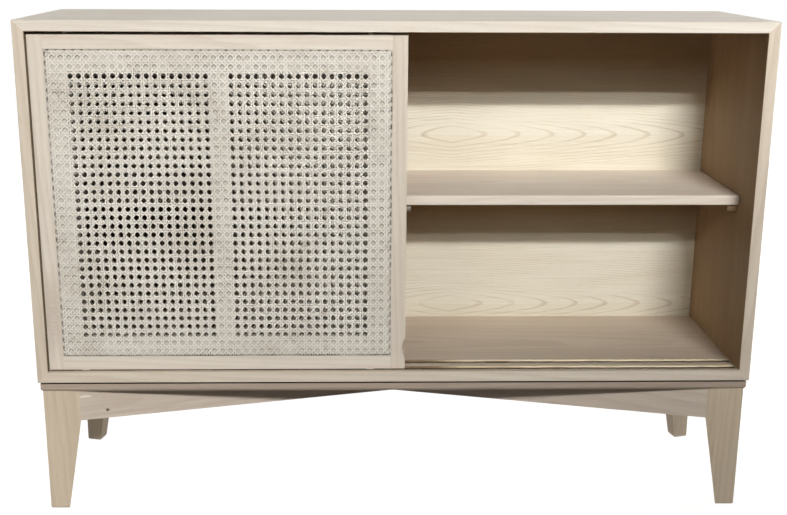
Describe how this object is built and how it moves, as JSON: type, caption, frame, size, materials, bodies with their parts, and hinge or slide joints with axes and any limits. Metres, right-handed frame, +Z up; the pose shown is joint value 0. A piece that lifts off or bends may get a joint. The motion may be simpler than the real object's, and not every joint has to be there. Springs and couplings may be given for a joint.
{
  "type": "record cabinet",
  "caption": "Low record cabinet in bleached wood with sliding cane doors, open shelving, tapered legs and crossed braces.",
  "frame": {"origin": "on the floor under the middle of the cabinet", "axes": "+Z up, +X to the right seen from the front, +Y from the front to the back"},
  "size_m": [1.43, 0.386, 0.99],
  "materials": {
    "bleached_wood": "matte",
    "back_veneer": "matte",
    "cane": "matte",
    "channel_brass": "satin",
    "screw_steel": "satin",
    "runner_nylon": "matte"
  },
  "bodies": {
    "cabinet": {"left_side": "bleached_wood", "right_side": "bleached_wood", "top_panel": "bleached_wood", "bottom_panel": "bleached_wood", "back_panel": "back_veneer", "center_divider": "bleached_wood", "left_shelf": "bleached_wood", "right_shelf": "bleached_wood", "shelf_pins": "bleached_wood", "lower_track_front": "channel_brass", "lower_track_rear": "channel_brass", "upper_track_front": "channel_brass", "upper_track_rear": "channel_brass", "base_board": "bleached_wood", "leg_front_left": "bleached_wood", "leg_front_right": "bleached_wood", "leg_rear_left": "bleached_wood", "leg_rear_right": "bleached_wood", "brace_from_left": "bleached_wood", "brace_from_right": "bleached_wood", "base_screws": "screw_steel"},
    "front_door": {"front_door_left_stile": "bleached_wood", "front_door_right_stile": "bleached_wood", "front_door_top_rail": "bleached_wood", "front_door_bottom_rail": "bleached_wood", "front_door_inner_left": "bleached_wood", "front_door_inner_right": "bleached_wood", "front_door_inner_top": "bleached_wood", "front_door_inner_bottom": "bleached_wood", "front_door_mullion": "bleached_wood", "front_door_cane": "cane", "front_door_glides": "runner_nylon", "front_door_guides": "runner_nylon"},
    "rear_door": {"rear_door_left_stile": "bleached_wood", "rear_door_right_stile": "bleached_wood", "rear_door_top_rail": "bleached_wood", "rear_door_bottom_rail": "bleached_wood", "rear_door_inner_left": "bleached_wood", "rear_door_inner_right": "bleached_wood", "rear_door_inner_top": "bleached_wood", "rear_door_inner_bottom": "bleached_wood", "rear_door_mullion": "bleached_wood", "rear_door_cane": "cane", "rear_door_glides": "runner_nylon", "rear_door_guides": "runner_nylon"}
  },
  "joints": [
    {"name": "front_door_slide", "type": "slide", "parent": "cabinet", "child": "front_door", "axis": [1, 0, 0], "range_m": [0, 0.674]},
    {"name": "rear_door_slide", "type": "slide", "parent": "cabinet", "child": "rear_door", "axis": [1, 0, 0], "range_m": [0, 0.674]}
  ]
}
